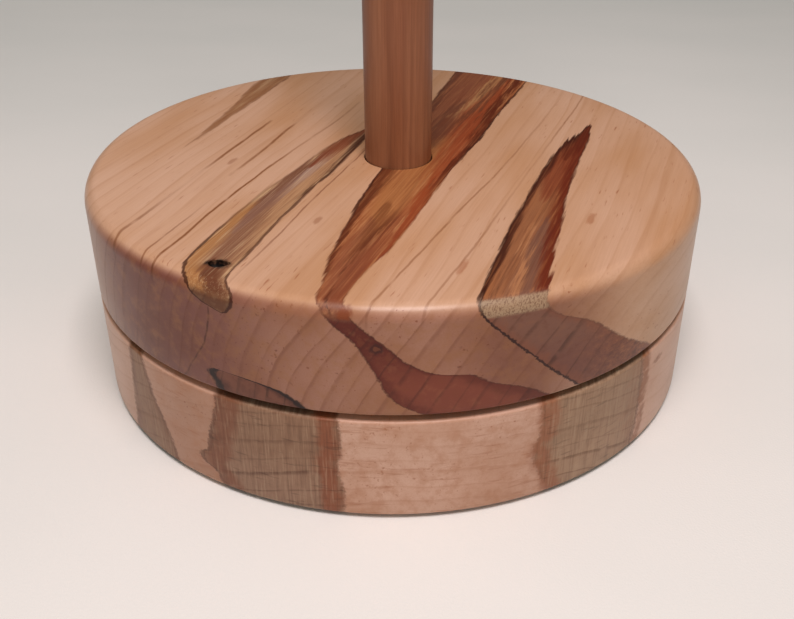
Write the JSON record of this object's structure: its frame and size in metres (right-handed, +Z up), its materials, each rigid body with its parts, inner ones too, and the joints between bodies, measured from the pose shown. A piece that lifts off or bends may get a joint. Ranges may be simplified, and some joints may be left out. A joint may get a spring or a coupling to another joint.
{
  "type": "paper towel holder",
  "caption": "Upright paper towel holder: a straight round wooden post on a thick wooden disc that turns on a matching fixed base disc over a hidden turntable bearing.",
  "frame": {"origin": "on the surface that the holder stands on, under the post's axis", "axes": "+Z up along the post; -Y to the front, the side seen first; +X to the right of someone facing the front"},
  "size_m": [0.173, 0.173, 0.365],
  "materials": {
    "base_wood": "pale maple with grey-brown spalted zones, satin varnish",
    "platter_wood": "pale maple with brown streaks, satin varnish",
    "dowel": "warm brown straight-grained dowel, satin varnish",
    "zinc_steel": "zinc plated pressed sheet",
    "ball_steel": "polished steel",
    "screw_steel": "yellow zinc plated",
    "nylon": "natural nylon",
    "felt": "brown pressed felt"
  },
  "bodies": {
    "base": {"base_disc": "base_wood", "bearing_lower_plate": "zinc_steel", "lower_plate_screw_1": "screw_steel", "lower_plate_screw_2": "screw_steel", "lower_plate_screw_3": "screw_steel", "lower_plate_screw_4": "screw_steel", "foot_pad_1": "felt", "foot_pad_2": "felt", "foot_pad_3": "felt", "foot_pad_4": "felt"},
    "ball_ring": {"ball_retainer": "nylon", "ball_01": "ball_steel", "ball_02": "ball_steel", "ball_03": "ball_steel", "ball_04": "ball_steel", "ball_05": "ball_steel", "ball_06": "ball_steel", "ball_07": "ball_steel", "ball_08": "ball_steel", "ball_09": "ball_steel", "ball_10": "ball_steel", "ball_11": "ball_steel", "ball_12": "ball_steel", "ball_13": "ball_steel", "ball_14": "ball_steel", "ball_15": "ball_steel", "ball_16": "ball_steel", "ball_17": "ball_steel", "ball_18": "ball_steel", "ball_19": "ball_steel", "ball_20": "ball_steel"},
    "platter": {"platter_disc": "platter_wood", "post": "dowel", "post_screw": "screw_steel", "bearing_upper_plate": "zinc_steel", "upper_plate_screw_1": "screw_steel", "upper_plate_screw_2": "screw_steel", "upper_plate_screw_3": "screw_steel", "upper_plate_screw_4": "screw_steel"}
  },
  "joints": [
    {"name": "platter_spin", "type": "hinge", "parent": "base", "child": "platter", "pos_m": [0, 0, 0.0303], "axis": [0, 0, 1], "continuous": true},
    {"name": "ball_orbit", "type": "hinge", "parent": "base", "child": "ball_ring", "pos_m": [0, 0, 0.0303], "axis": [0, 0, 1], "continuous": true}
  ],
  "couplings": [
    {"joint": "ball_orbit", "follows": "platter_spin", "ratio": 0.5}
  ]
}
